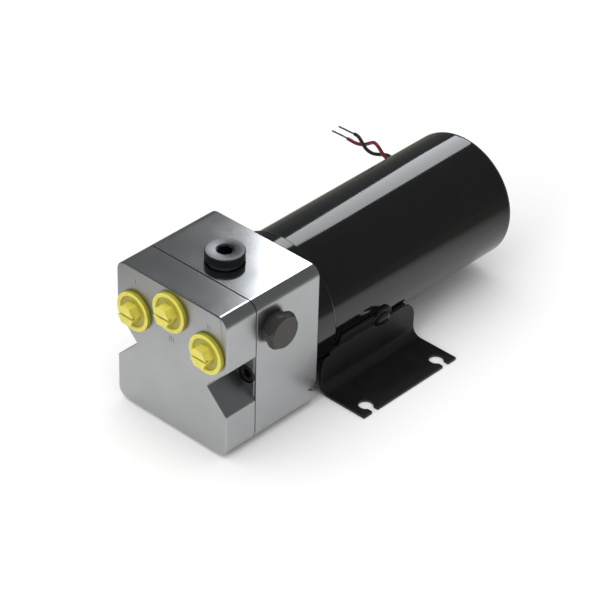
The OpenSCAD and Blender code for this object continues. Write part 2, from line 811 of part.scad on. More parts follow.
// Insulating plate with a square guide tube for each brush
module brush_plate() {
    guide = brush_side + 2 * guide_wall;
    guide_x = brush_x + 1.9;
    color([0.36, 0.25, 0.15])
    difference() {
        union() {
            tube_y(can_in_r - 0.1, comm_r + 0.6, plate_y, plate_y + plate_t);
            on_both_sides()
                translate([guide_x, plate_y - guide, axis_z - guide / 2])
                cube([guide_end_x + 1 - guide_x, guide + 1, guide]);
        }
        on_both_sides()
            translate([brush_x + 0.5, brush_mid_y - brush_side / 2 - 0.1, axis_z - brush_side / 2 - 0.1])
            cube([guide_end_x - brush_x - 0.5, brush_side + 0.2, brush_side + 0.2]);
        for (sz = [-1, 1])
            rod_y(tie_r + 0.3, plate_y - 1, plate_y + 4, 0, axis_z + sz * tie_z);
    }
}

module brush_right() {
    color([0.13, 0.13, 0.14])
    difference() {
        translate([brush_x, brush_mid_y - brush_side / 2, axis_z - brush_side / 2])
            cube([brush_len, brush_side, brush_side]);
        rod_y(comm_r + 0.05, plate_y - 12, plate_y);
    }
}

module brush_left() { mirror([1, 0, 0]) brush_right(); }

module brush_spring_right() {
    color([0.65, 0.65, 0.67])
    translate([brush_x + brush_len + 0.05, brush_mid_y, axis_z]) rotate([0, 90, 0])
        coil(2.8, 0.35, guide_end_x - brush_x - brush_len - 0.1, 3);
}

module brush_spring_left() { mirror([1, 0, 0]) brush_spring_right(); }

module bearing_places() {
    for (y = [front_bearing_y, rear_bearing_y])
        translate([0, y, axis_z]) children();
}

module bearing_outer_rings() {
    color([0.64, 0.64, 0.66])
    bearing_places() tube_y(bearing_r, bearing_outer_in_r, 0, bearing_w, 0, 0);
}

module bearing_inner_rings() {
    color([0.64, 0.64, 0.66])
    bearing_places() tube_y(bearing_inner_out_r, shaft_r + fit, 0, bearing_w, 0, 0);
}

module bearing_balls() {
    color([0.72, 0.72, 0.74])
    bearing_places()
        for (i = [0:balls - 1])
            rotate([0, i * 360 / balls, 0])
                translate([(bearing_outer_in_r + bearing_inner_out_r) / 2, bearing_w / 2, 0])
                sphere(r = ball_r);
}

module preload_washer() {
    color([0.66, 0.66, 0.68])
    tube_y(bearing_r - 0.3, bearing_outer_in_r - 0.6, rear_bearing_y + bearing_w + 0.1,
           can_rear_y - can_wall - 0.1);
}

// ---- foot ----------------------------------------------------------------------------------

// Half ring sector seen from the port face, between two angles below the motor axis
module saddle_arc(from, to) {
    translate([0, axis_z]) intersection() {
        difference() {
            circle(r = saddle_out_r);
            circle(r = saddle_r);
        }
        polygon(concat([[0, 0]], [for (i = [0:4]) polar(60, -from - (to - from) * i / 4)]));
    }
}

// Upright wall, bend and flat foot of one side
module foot_profile() {
    bend = 4.5;
    square_top = 24;
    translate([wall_in_x, foot_t + bend]) square([foot_t, square_top - foot_t - bend]);
    translate([foot_wall_x + bend, 0]) square([foot_reach - foot_wall_x - bend, foot_t]);
    translate([foot_wall_x + bend, foot_t + bend]) intersection() {
        difference() {
            circle(r = bend + foot_t);
            circle(r = bend);
        }
        translate([-20, -20]) square([20, 20]);
    }
}

// Side view of the wall: straight below, rounded upper corners
module wall_outline() {
    corner = 8;
    half = foot_len / 2;
    top = 20;
    translate([-half, -1]) square([foot_len, top - corner + 1]);
    translate([-half + corner, -1]) square([foot_len - 2 * corner, top + 1]);
    for (sy = [-1, 1])
        translate([sy * (half - corner), top - corner]) circle(r = corner);
}

// Places a piece at the right ear, its own X pointing out through the screw hole
module at_ear() {
    translate([0, ear_y, axis_z]) rotate([0, ear_angle, 0]) children();
}

module foot_side() {
    difference() {
        intersection() {
            along_y(-foot_len / 2, foot_len / 2) foot_profile();
            rotate([90, 0, 90]) linear_extrude(foot_reach + 5) wall_outline();
        }
        rod_y(saddle_out_r - 0.3, saddle_front_y, foot_len);
        rod_y(flange_r + 0.6, -foot_len, saddle_front_y);
        at_ear() radial_rod(ear_head_r + 0.4, saddle_out_r, saddle_out_r + 8);
        for (sy = [-1, 1])
            translate([hole_span_x / 2, sy * hole_span_y / 2, 0]) {
                translate([0, 0, -eps]) cylinder(r = hole_r, h = foot_t + 1);
                translate([0, -slot_w / 2, -eps]) cube([20, slot_w, foot_t + 1]);
            }
    }
}

// Saddle under the can with a long tab and a round screw ear on each side, and two welded feet
module foot_bracket() {
    color([0.045, 0.045, 0.05])
    difference() {
        union() {
            along_y(saddle_front_y, saddle_rear_y) saddle_arc(saddle_edge, 180 - saddle_edge);
            on_both_sides() {
                along_y(tab_front_y, tab_rear_y) saddle_arc(tab_edge, saddle_edge + 2);
                intersection() {
                    along_y(ear_y - ear_r - 1, ear_y + ear_r + 1) saddle_arc(1, 40);
                    at_ear() radial_rod(ear_r, 25, 34);
                }
                foot_side();
            }
        }
        on_both_sides() at_ear() radial_rod(ear_hole_r, 25, 34);
    }
}

module bracket_screws() {
    dome_r = saddle_out_r + ear_head_t;
    color([0.09, 0.09, 0.10])
    on_both_sides()
        at_ear() {
            radial_rod(ear_screw_r, can_in_r + 0.2, saddle_out_r + 0.5);
            difference() {
                union() {
                    radial_rod(ear_head_r, saddle_out_r, dome_r);
                    translate([dome_r, 0, 0]) rotate([0, 90, 0])
                        cylinder(r1 = ear_head_r, r2 = ear_head_r - 1.3, h = 1.3);
                }
                translate([dome_r + 0.3, -0.5, -5]) cube([3, 1, 10]);
            }
        }
}

// ---- leads ---------------------------------------------------------------------------------

module lead_grommet() {
    color([0.06, 0.06, 0.06])
    translate([0, grommet_y, axis_z]) rotate([0, -grommet_angle, 0]) {
        radial_rod(grommet_r, can_in_r - 1.2, can_r + 0.2);
        radial_rod(grommet_head_r, can_r + 0.2, can_r + 1.4);
    }
}

function unit(v) = v / norm(v);
function tangent(p, i) = unit(p[min(i + 1, len(p) - 1)] - p[max(i - 1, 0)]);

// Tube along a route; its radius drops to the bare core from ring strip on
module lead(route, strip) {
    sides = 8;
    n = len(route);
    start = [cos(grommet_angle), 0, sin(grommet_angle)];
    rings = [for (i = [0:n - 1])
        let (t = i == 0 ? start : tangent(route, i), u = unit(cross(t, [0, 1, 0])), v = cross(t, u),
             r = i < strip ? lead_r : lead_core_r)
        for (k = [0:sides - 1])
            route[i] + r * (cos(k * 360 / sides) * u + sin(k * 360 / sides) * v)];
    skin = [for (i = [0:n - 2], k = [0:sides - 1])
        let (m = (k + 1) % sides)
        [i * sides + k, i * sides + m, (i + 1) * sides + m, (i + 1) * sides + k]];
    caps = [[for (k = [sides - 1:-1:0]) k], [for (k = [0:sides - 1]) (n - 1) * sides + k]];
    polyhedron(points = rings, faces = concat(skin, caps));
}

module lead_red() { color([0.55, 0.05, 0.06]) lead(red_route, 16); }
module lead_black() { color([0.05, 0.05, 0.05]) lead(black_route, 14); }

port_block();
pump_block();
face_seal();
port_seals();
dowel_pins();
corner_screws();
block_screws();
port_plug_left();
port_plug_tank();
port_plug_right();
top_plug();
top_plug_seal();
side_plug_right();
side_plug_left();
side_plug_seals();
front_bushes();
rear_bushes();
drive_shaft();
drive_gear();
driven_shaft();
driven_gear();
shaft_seal();
coupling();
pilot_spool();
check_seats();
check_poppet_right();
check_poppet_left();
check_spring_right();
check_spring_left();
relief_ball_right();
relief_ball_left();
relief_spring_right();
relief_spring_left();
motor_flange();
motor_can();
tie_screws();
magnets();
armature_shaft();
armature_core();
windings();
commutator();
brush_plate();
brush_right();
brush_left();
brush_spring_right();
brush_spring_left();
bearing_outer_rings();
bearing_balls();
bearing_inner_rings();
preload_washer();
foot_bracket();
bracket_screws();
lead_grommet();
lead_red();
lead_black();
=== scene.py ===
import math

import bmesh
import bpy
from mathutils import Matrix, Vector


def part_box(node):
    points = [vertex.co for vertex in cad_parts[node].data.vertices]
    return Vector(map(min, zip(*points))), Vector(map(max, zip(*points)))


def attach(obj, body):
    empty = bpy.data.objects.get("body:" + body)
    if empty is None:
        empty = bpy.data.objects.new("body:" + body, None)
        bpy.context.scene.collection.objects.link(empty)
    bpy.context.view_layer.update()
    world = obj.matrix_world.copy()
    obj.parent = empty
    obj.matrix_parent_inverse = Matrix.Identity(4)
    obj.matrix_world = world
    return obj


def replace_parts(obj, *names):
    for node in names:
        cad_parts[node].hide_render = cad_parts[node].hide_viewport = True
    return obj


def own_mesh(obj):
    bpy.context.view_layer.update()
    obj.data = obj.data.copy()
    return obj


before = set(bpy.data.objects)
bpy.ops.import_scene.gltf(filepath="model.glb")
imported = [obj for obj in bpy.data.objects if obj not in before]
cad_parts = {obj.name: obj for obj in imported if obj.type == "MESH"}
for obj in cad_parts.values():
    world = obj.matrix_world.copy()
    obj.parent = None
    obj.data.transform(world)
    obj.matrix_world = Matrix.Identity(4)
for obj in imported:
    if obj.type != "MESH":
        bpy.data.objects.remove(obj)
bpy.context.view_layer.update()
scene = bpy.context.scene
MM = 0.001


# ---- studio ---------------------------------------------------------------------------------
# The unit stands on a pale floor under one broad soft light. A tall narrow softbox behind it on
# the left gives the long stripe on the motor and the bright corner on the block's top.

camera = bpy.data.objects.new("camera", bpy.data.cameras.new("camera"))
scene.collection.objects.link(camera)
scene.camera = camera
camera_turn = math.radians(42.24)
camera_height = math.radians(35.23)
camera_tilt = math.radians(1.56)
away = Vector((math.sin(camera_turn) * math.cos(camera_height),
               -math.cos(camera_turn) * math.cos(camera_height), math.sin(camera_height)))
camera.location = (0.6710, -0.7527, 0.7322)
camera.rotation_mode = "QUATERNION"
camera.rotation_quaternion = ((-away).to_track_quat("-Z", "Y")
                              @ Matrix.Rotation(camera_tilt, 3, "Z").to_quaternion())
camera.data.sensor_width = 36
camera.data.lens = 169.2
camera.data.clip_end = 20

scene.view_settings.view_transform = "Standard"

world = bpy.data.worlds.new("studio")
scene.world = world
world.use_nodes = True
join = world.node_tree.links.new
room = world.node_tree.nodes["Background"]
room.inputs["Color"].default_value = (0.95, 0.98, 1.0, 1)
room.inputs["Strength"].default_value = 0.20
pale = world.node_tree.nodes.new("ShaderNodeBackground")
pale.inputs["Color"].default_value = (1, 1, 1, 1)
soft_fill = world.node_tree.nodes.new("ShaderNodeBackground")
soft_fill.inputs["Color"].default_value = (1, 1, 1, 1)
soft_fill.inputs["Strength"].default_value = 0.72
ray = world.node_tree.nodes.new("ShaderNodeLightPath")
lit = world.node_tree.nodes.new("ShaderNodeMixShader")
join(ray.outputs["Is Diffuse Ray"], lit.inputs[0])
join(room.outputs[0], lit.inputs[1])
join(soft_fill.outputs[0], lit.inputs[2])
chosen = world.node_tree.nodes.new("ShaderNodeMixShader")
join(ray.outputs["Is Camera Ray"], chosen.inputs[0])
join(lit.outputs[0], chosen.inputs[1])
join(pale.outputs[0], chosen.inputs[2])
join(chosen.outputs[0], world.node_tree.nodes["World Output"].inputs[0])


def lamp(name, kind, place, target, strength):
    """A light at a place, aimed at a target, that mirrors don't show."""
    light = bpy.data.objects.new(name, bpy.data.lights.new(name, kind))
    scene.collection.objects.link(light)
    light.location = place
    light.rotation_mode = "QUATERNION"
    light.rotation_quaternion = (Vector(target) - Vector(place)).to_track_quat("-Z", "Y")
    light.data.energy = strength
    light.visible_glossy = False
    return light


overhead = lamp("overhead", "SUN", (-0.3, -0.5, 2), (0, 0, 0), 1.35)
overhead.data.angle = math.radians(80)

front_fill = lamp("front_fill", "AREA", (0.2, -1.6, 0.9), (0, 0, 0.03), 9)
front_fill.data.shape = "DISK"
front_fill.data.size = 0.9

panel_left = Vector((-1.722, 1.799, 1.95))
panel_right = Vector((-0.961, 2.308, 1.95))
panel_height = 1.7
panel_radiance = 5.4
panel_width = (panel_right - panel_left).length
panel_middle = (panel_left + panel_right) / 2
panel_faces = (panel_right - panel_left).cross(Vector((0, 0, 1)))
softbox = lamp("softbox", "AREA", panel_middle, panel_middle + panel_faces,
               panel_radiance * math.pi * panel_width * panel_height)
softbox.data.shape = "RECTANGLE"
softbox.data.size = panel_width
softbox.data.size_y = panel_height
softbox.data.color = (0.94, 0.97, 1.0)
softbox.visible_diffuse = False
softbox.visible_glossy = True

floor_half = 6
floor_mesh = bpy.data.meshes.new("floor")
floor_mesh.from_pydata([(x, y, 0) for x, y in ((-floor_half, -floor_half), (floor_half, -floor_half),
                                               (floor_half, floor_half), (-floor_half, floor_half))],
                       [], [(0, 1, 2, 3)])
floor = bpy.data.objects.new("floor", floor_mesh)
scene.collection.objects.link(floor)
paper = bpy.data.materials.new("pale_paper")
paper.use_nodes = True
join = paper.node_tree.links.new
sheet = paper.node_tree.nodes["Principled BSDF"]
sheet.inputs["Base Color"].default_value = (0.9, 0.9, 0.9, 1)
sheet.inputs["Roughness"].default_value = 0.9
# in mirrors the floor is painted dark beyond a painted pool of light round the unit: painted shade
# on the far floor
floor_painted_shade = paper.node_tree.nodes.new("ShaderNodeBsdfDiffuse")
floor_painted_shade.inputs["Color"].default_value = (0.20, 0.20, 0.17, 1)
lit_patch = Vector((0.07, -0.05, 0))
patch_end, patch_start = 0.28, 0.12
spot = paper.node_tree.nodes.new("ShaderNodeNewGeometry")
reach = paper.node_tree.nodes.new("ShaderNodeVectorMath")
reach.operation = "DISTANCE"
reach.inputs[1].default_value = lit_patch
join(spot.outputs["Position"], reach.inputs[0])
fade = paper.node_tree.nodes.new("ShaderNodeMapRange")
fade.interpolation_type = "SMOOTHSTEP"
fade.inputs["From Min"].default_value = patch_start
fade.inputs["From Max"].default_value = patch_end
join(reach.outputs["Value"], fade.inputs["Value"])
ray = paper.node_tree.nodes.new("ShaderNodeLightPath")
in_mirror = paper.node_tree.nodes.new("ShaderNodeMath")
in_mirror.operation = "MULTIPLY"
join(ray.outputs["Is Glossy Ray"], in_mirror.inputs[0])
join(fade.outputs["Result"], in_mirror.inputs[1])
seen = paper.node_tree.nodes.new("ShaderNodeMixShader")
join(in_mirror.outputs["Value"], seen.inputs[0])
join(sheet.outputs[0], seen.inputs[1])
join(floor_painted_shade.outputs[0], seen.inputs[2])
join(seen.outputs[0], paper.node_tree.nodes["Material Output"].inputs["Surface"])
floor_mesh.materials.append(paper)


# ---- power leads ----------------------------------------------------------------------------
# Two short leads, red and black, leave the can through a grommet and cross over each other. The
# insulation is extruded PVC; the last 8 mm are stripped to seven twisted tinned strands.

def finish(name, colour, metallic, roughness, colour_change=0.12, rough_change=0.06, patch=2.0,
           grain=0.25, relief=2.0, stretch=(1, 1, 1), edge_highlight_and_wear=0.0):
    """Material whose colour and gloss vary over patches (mm) and whose skin has a fine grain (mm).
    relief is the grain's depth in micrometres, stretch draws the grain out along an axis;
    the last argument paints outer edges lighter, a painted highlight that also stands for wear."""
    material = bpy.data.materials.new(name)
    material.use_nodes = True
    nodes = material.node_tree.nodes
    link = material.node_tree.links.new
    shader = nodes["Principled BSDF"]
    shader.inputs["Metallic"].default_value = metallic
    place = nodes.new("ShaderNodeTexCoord")
    drawn = nodes.new("ShaderNodeMapping")
    drawn.inputs["Scale"].default_value = stretch
    link(place.outputs["Object"], drawn.inputs["Vector"])

    cloud = nodes.new("ShaderNodeTexNoise")
    cloud.inputs["Scale"].default_value = 1 / (patch * MM)
    cloud.inputs["Detail"].default_value = 5
    link(place.outputs["Object"], cloud.inputs["Vector"])
    tint = nodes.new("ShaderNodeValToRGB")
    darker = [c * (1 - colour_change) for c in colour]
    lighter = [min(1, c * (1 + colour_change)) for c in colour]
    tint.color_ramp.elements[0].position = 0.3
    tint.color_ramp.elements[0].color = (*darker, 1)
    tint.color_ramp.elements[1].position = 0.7
    tint.color_ramp.elements[1].color = (*lighter, 1)
    link(cloud.outputs["Fac"], tint.inputs["Fac"])
    colour_out = tint.outputs["Color"]
    # outer edges found by pointiness are painted lighter: a painted edge highlight that also stands
    # for wear
    if edge_highlight_and_wear:
        shape = nodes.new("ShaderNodeNewGeometry")
        lit_and_worn_edges = nodes.new("ShaderNodeMapRange")
        lit_and_worn_edges.inputs["From Min"].default_value = 0.52
        lit_and_worn_edges.inputs["From Max"].default_value = 0.60
        lit_and_worn_edges.inputs["To Max"].default_value = edge_highlight_and_wear
        link(shape.outputs["Pointiness"], lit_and_worn_edges.inputs["Value"])
        highlight_and_wear_mix = nodes.new("ShaderNodeMix")
        highlight_and_wear_mix.data_type = "RGBA"
        highlight_and_wear_mix.inputs["B"].default_value = (*[min(1, c * 1.6 + 0.04) for c in colour], 1)
        link(lit_and_worn_edges.outputs["Result"], highlight_and_wear_mix.inputs["Factor"])
        link(colour_out, highlight_and_wear_mix.inputs["A"])
        colour_out = highlight_and_wear_mix.outputs["Result"]
    link(colour_out, shader.inputs["Base Color"])

    speck = nodes.new("ShaderNodeTexNoise")
    speck.inputs["Scale"].default_value = 1 / (grain * MM)
    speck.inputs["Detail"].default_value = 3
    link(drawn.outputs["Vector"], speck.inputs["Vector"])
    gloss = nodes.new("ShaderNodeMapRange")
    gloss.inputs["From Min"].default_value = 0.25
    gloss.inputs["From Max"].default_value = 0.75
    gloss.inputs["To Min"].default_value = max(0.02, roughness - rough_change)
    gloss.inputs["To Max"].default_value = roughness + rough_change
    both = nodes.new("ShaderNodeMath")
    both.operation = "MULTIPLY_ADD"
    both.inputs[1].default_value = 0.3
    link(speck.outputs["Fac"], both.inputs[0])
    faded = nodes.new("ShaderNodeMath")
    faded.operation = "MULTIPLY"
    faded.inputs[1].default_value = 0.7
    link(cloud.outputs["Fac"], faded.inputs[0])
    link(faded.outputs["Value"], both.inputs[2])
    link(both.outputs["Value"], gloss.inputs["Value"])
    link(gloss.outputs["Result"], shader.inputs["Roughness"])

    skin = nodes.new("ShaderNodeBump")
    skin.inputs["Distance"].default_value = relief * MM * MM
    skin.inputs["Strength"].default_value = 1
    link(speck.outputs["Fac"], skin.inputs["Height"])
    link(skin.outputs["Normal"], shader.inputs["Normal"])
    return material


def piece_from(name, points, faces, material, body, smooth_below=40):
    """New mesh piece in metres that rides on a CAD body and takes the given finish."""
    mesh = bpy.data.meshes.new(name)
    mesh.from_pydata(points, [], faces)
    shape = bmesh.new()
    shape.from_mesh(mesh)
    bmesh.ops.remove_doubles(shape, verts=shape.verts, dist=1e-7)
    bmesh.ops.recalc_face_normals(shape, faces=shape.faces)
    shape.to_mesh(mesh)
    shape.free()
    mesh.polygons.foreach_set("use_smooth", [True] * len(mesh.polygons))
    mesh.set_sharp_from_angle(angle=math.radians(smooth_below))
    mesh.materials.append(material)
    piece = bpy.data.objects.new(name, mesh)
    scene.collection.objects.link(piece)
    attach(piece, body)
    return piece


def add_shape(points, faces, shape):
    """Adds another shape's points and faces to the lists of a piece."""
    more_points, more_faces = shape
    faces += [tuple(v + len(points) for v in face) for face in more_faces]
    points += more_points


def spline(points, steps):
    """Smooth line through given points, with steps points to each stretch."""
    line = []
    for i in range(len(points) - 1):
        a, b = points[max(i - 1, 0)], points[i]
        c, d = points[i + 1], points[min(i + 2, len(points) - 1)]
        for k in range(steps):
            t = k / steps
            line.append(0.5 * ((2 * b) + (c - a) * t + (2 * a - 5 * b + 4 * c - d) * t * t
                               + (3 * b - a - 3 * c + d) * t * t * t))
    return line + [points[-1]]


def sweep(line, radii, sides):
    """Points and faces of a round tube along a line, its frame carried along without twist."""
    points, faces = [], []
    side = None
    for i, centre in enumerate(line):
        ahead = (line[min(i + 1, len(line) - 1)] - line[max(i - 1, 0)]).normalized()
        if side is None:
            side = ahead.orthogonal().normalized()
        side = (side - ahead * side.dot(ahead)).normalized()
        other = ahead.cross(side)
        for k in range(sides):
            a = 2 * math.pi * k / sides
            points.append(centre + radii[i] * (math.cos(a) * side + math.sin(a) * other))
    for i in range(len(line) - 1):
        for k in range(sides):
            m = (k + 1) % sides
            faces.append((i * sides + k, i * sides + m, (i + 1) * sides + m, (i + 1) * sides + k))
    faces.append(tuple(range(sides - 1, -1, -1)))
    faces.append(tuple((len(line) - 1) * sides + k for k in range(sides)))
    return points, faces


lead_r = 0.85 * MM
strand_r = 0.15 * MM
red_route = [Vector(p) * MM for p in (
    (-29.5, 76.8, 44.7), (-31, 76.7, 45.3), (-32.8, 76.6, 46.2), (-34.6, 76.7, 47.5),
    (-36.4, 77, 48.7), (-38.2, 77.6, 49.1), (-40, 78.4, 48.9), (-41.8, 79.1, 48.1),
    (-43.6, 79.6, 46.9), (-45.4, 79.7, 45.6), (-47.2, 79.6, 44.5), (-49, 79.2, 43.8),
    (-51, 78.7, 43.6), (-53, 78.3, 43.8), (-55, 78.1, 44.1), (-57, 78, 44.3), (-57.2, 78, 44.3),
    (-60, 78, 44.4), (-63, 78, 44.3), (-66, 78, 44.2))]
black_route = [Vector(p) * MM for p in (
    (-29.5, 79.2, 44.7), (-31, 79.2, 45.1), (-32.8, 79.3, 45.1), (-34.6, 79.2, 44.7),
    (-36.4, 78.8, 44.2), (-38.2, 78.1, 43.8), (-40, 77.3, 43.8), (-41.8, 76.7, 44.3),
    (-43.6, 76.3, 45.3), (-45.4, 76.4, 46.6), (-47.2, 76.8, 47.8), (-49, 77.4, 48.5),
    (-51, 77.9, 48.6), (-52.8, 78, 48.5), (-53, 78, 48.5), (-56, 78, 48.4), (-59, 78, 48.4),
    (-62, 78, 48.3))]
tinned = finish("tinned_strands", (0.34, 0.33, 0.33), 1, 0.3, grain=0.1, relief=2)


def lead(name, route, stripped, colour, slot):
    """Insulated lead with a bare stranded end; stripped is the route point where it starts."""
    insulation = finish(slot, colour, 0, 0.32, colour_change=0.1, grain=0.15, relief=6)
    smooth = spline(route, 3)
    cut = 3 * stripped
    radii = [lead_r] * (cut - 1) + [lead_r * 0.92, 0.42 * MM] + [0.30 * MM] * (len(smooth) - cut - 1)
    points, faces = sweep(smooth, radii, 16)
    tube = piece_from(name, points, faces, insulation, "housing")
    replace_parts(tube, name)
    bare = smooth[cut - 2:]
    points, faces = [], []
    for strand in range(6):
        twisted = []
        for i, centre in enumerate(bare):
            a = 2 * math.pi * (strand / 6 + i * 0.035)
            twisted.append(centre + 0.29 * MM * Vector((0, math.cos(a), math.sin(a))))
        add_shape(points, faces, sweep(twisted, [strand_r] * len(twisted), 8))
    strands = piece_from(name + "_strands", points, faces, tinned, "housing")


lead("lead_red", red_route, 15, (0.13, 0.007, 0.012), "red_insulation")
lead("lead_black", black_route, 13, (0.012, 0.012, 0.013), "black_insulation")


# ---- blocks ---------------------------------------------------------------------------------
# Port block and pump block: machined from one extruded aluminium bar, long edges rounded, face
# edges broken, then fine milled and polished. Corner screws from the rear hold them together.

def finish_node(node, material):
    """Gives a CAD piece that keeps its shape its finish."""
    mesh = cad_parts[node].data
    mesh.materials.clear()
    mesh.materials.append(material)


def cut_away(mesh, points, faces):
    """Mesh with the volume inside the given faces cut out of it."""
    cutter = bpy.data.meshes.new("cutter")
    cutter.from_pydata(points, [], faces)
    shape = bmesh.new()
    shape.from_mesh(cutter)
    bmesh.ops.recalc_face_normals(shape, faces=shape.faces)
    shape.to_mesh(cutter)
    shape.free()
    tool = bpy.data.objects.new("tool", cutter)
    whole = bpy.data.objects.new("whole", mesh)
    scene.collection.objects.link(tool)
    scene.collection.objects.link(whole)
    cut = whole.modifiers.new("cut", "BOOLEAN")
    cut.object = tool
    cut.operation = "DIFFERENCE"
    cut.solver = "EXACT"
    done = whole.evaluated_get(bpy.context.evaluated_depsgraph_get())
    result = bpy.data.meshes.new_from_object(done)
    bpy.data.objects.remove(tool)
    bpy.data.objects.remove(whole)
    return result


def break_edges(piece, width, sharper_than=35, share=None, segments=2):
    """Rounds a piece's sharp edges to a width (mm); share says how much of it each edge gets."""
    mesh = piece.data
    shape = bmesh.new()
    shape.from_mesh(mesh)
    weight = shape.edges.layers.float.new("bevel_weight_edge")
    for edge in shape.edges:
        if len(edge.link_faces) == 2 and edge.calc_face_angle() > math.radians(sharper_than):
            middle = (edge.verts[0].co + edge.verts[1].co) / 2
            edge[weight] = share(middle) if share else 1
    shape.to_mesh(mesh)
    shape.free()
    mesh.polygons.foreach_set("use_smooth", [True] * len(mesh.polygons))
    mesh.set_sharp_from_angle(angle=math.radians(sharper_than))
    edges = piece.modifiers.new("broken_edges", "BEVEL")
    edges.width = width * MM
    edges.segments = segments
    edges.limit_method = "WEIGHT"
    edges.miter_outer = "MITER_ARC"
    edges.use_clamp_overlap = False
    flat = piece.modifiers.new("flat_faces", "WEIGHTED_NORMAL")
    flat.mode = "FACE_AREA"
    flat.weight = 80
    flat.keep_sharp = True


def softened(node, body, material, width, mesh=None, sharper_than=35, share=None):
    """Copy of a CAD piece with its sharp edges broken by a small round of the given width (mm)."""
    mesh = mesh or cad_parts[node].data.copy()
    shape = bmesh.new()
    shape.from_mesh(mesh)
    bmesh.ops.remove_doubles(shape, verts=shape.verts, dist=1e-6)
    bmesh.ops.dissolve_limit(shape, angle_limit=math.radians(0.4), verts=shape.verts,
                             edges=shape.edges)
    shape.to_mesh(mesh)
    shape.free()
    if "custom_normal" in mesh.attributes:
        mesh.attributes.remove(mesh.attributes["custom_normal"])
    mesh.materials.clear()
    mesh.materials.append(material)
    piece = bpy.data.objects.new(node + "_finished", mesh)
    scene.collection.objects.link(piece)
    break_edges(piece, width, sharper_than, share)
    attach(piece, body)
    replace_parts(piece, node)
    return piece


block_low, block_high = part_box("port_block")
seam_y = block_high.y
pump_rear_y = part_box("pump_block")[1].y
axis_z = sum(v.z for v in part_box("motor_can")) / 2
corner_r = 5 * MM
notch_depth = 11.3 * MM
seam_gap = 0.5 * MM
seam_depth = 1.3 * MM


def block_outline(inset, y):
    """Points of the blocks' rounded rectangle, set in from the sides, at one place along Y."""
    arc_steps = 8
    in_x = block_high.x - corner_r
    points = []
    for quarter, (sx, z) in enumerate(((1, block_high.z - corner_r), (-1, block_high.z - corner_r),
                                       (-1, block_low.z + corner_r), (1, block_low.z + corner_r))):
        for k in range(arc_steps + 1):
            a = math.pi / 2 * (quarter + k / arc_steps)
            r = corner_r - inset
            points.append(Vector((sx * in_x + r * math.cos(a), y, z + r * math.sin(a))))
    return points


def edge_share(middle):
    """Share of the full round that an edge of the blocks gets: none on the edges inside."""
    middle_z = (block_low.z + block_high.z) / 2
    out_x = abs(middle.x) - (block_high.x - corner_r)
    out_z = abs(middle.z - middle_z) - ((block_high.z - block_low.z) / 2 - corner_r)
    out = math.hypot(out_x, out_z) if min(out_x, out_z) > 0 else max(out_x, out_z)
    near = 0.06 * MM
    on_outline = abs(out - corner_r) < near
    wedge = abs(middle.x) - (block_high.x - notch_depth)
    in_notch = abs(abs(middle.z - axis_z) - wedge) < near and middle.y < seam_y + near
    if abs(middle.y - seam_y) < seam_gap + near:
        return 0.2 if on_outline or in_notch else 0
    if on_outline or in_notch:
        return 1
    on_face = min(abs(middle.y - block_low.y), abs(middle.y - pump_rear_y)) < near
    return 0.25 if on_face else 0


machined = finish("machined_aluminium", (0.41, 0.415, 0.42), 1, 0.10, colour_change=0.04,
                  rough_change=0.02, patch=14, grain=0.5, relief=0.3, stretch=(0.15, 1, 1))
nodes = machined.node_tree.nodes
join = machined.node_tree.links.new
side_roughness = 0.24
facing = nodes.new("ShaderNodeTexCoord")
up_part = nodes.new("ShaderNodeSeparateXYZ")
join(facing.outputs["Normal"], up_part.inputs["Vector"])
matt = nodes.new("ShaderNodeMapRange")
matt.inputs["From Min"].default_value = 0.75
matt.inputs["From Max"].default_value = 0.95
matt.inputs["To Min"].default_value = side_roughness
matt.inputs["To Max"].default_value = 0
join(up_part.outputs["Z"], matt.inputs["Value"])
rougher = nodes.new("ShaderNodeMath")
rougher.operation = "ADD"
shader = nodes["Principled BSDF"]
join(shader.inputs["Roughness"].links[0].from_socket, rougher.inputs[0])
join(matt.outputs["Result"], rougher.inputs[1])
join(rougher.outputs["Value"], shader.inputs["Roughness"])

softened("port_block", "housing", machined, 0.5, share=edge_share)

# the seam between the blocks is a fine groove cut round the pump block's front rim
rings = [block_outline(-1 * MM, seam_y - 0.5 * MM), block_outline(-1 * MM, seam_y + seam_gap),
         block_outline(seam_depth, seam_y + seam_gap), block_outline(seam_depth, seam_y - 0.5 * MM)]
count = len(rings[0])
groove_faces = []
for i in range(4):
    for k in range(count):
        m = (k + 1) % count
        n = (i + 1) % 4
        groove_faces.append((i * count + k, i * count + m, n * count + m, n * count + k))
grooved = cut_away(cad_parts["pump_block"].data.copy(), sum(rings, []), groove_faces)
softened("pump_block", "housing", machined, 0.5, grooved, share=edge_share)

# strokes that tell the ports apart: one, two and three, cut into the face and filled in grey
ink = finish("engraved_fill", (0.16, 0.16, 0.165), 0.2, 0.6, patch=1, grain=0.1, relief=4)
stroke_width = 0.35 * MM
stroke_height = 2.6 * MM
stroke_pitch = 1.1 * MM
stroke_proud = 0.02 * MM
stroke_sunk = 0.3 * MM
box_faces = [(0, 1, 2, 3), (4, 5, 6, 7), (0, 1, 5, 4), (1, 2, 6, 5), (2, 3, 7, 6), (3, 0, 4, 7)]
points, faces = [], []
for strokes, x, z in ((1, -21, 65.3), (3, 0, 46.8), (2, 21.6, 63.6)):
    for i in range(strokes):
        left = x * MM + (i - (strokes - 1) / 2) * stroke_pitch - stroke_width / 2
        low_z = z * MM - stroke_height / 2
        corners = [Vector((left + dx * stroke_width, block_low.y + y, low_z + dz * stroke_height))
                   for y in (stroke_sunk, -stroke_proud)
                   for dx, dz in ((0, 0), (1, 0), (1, 1), (0, 1))]
        add_shape(points, faces, (corners, box_faces))
piece_from("port_strokes", points, faces, ink, "housing")


# ---- port plugs -----------------------------------------------------------------------------
# Three transport plugs moulded in yellow plastic: threaded shank, flange with a raised rim, and a
# slotted hexagon head. They screw into G1/4 ports tapped in the port block.

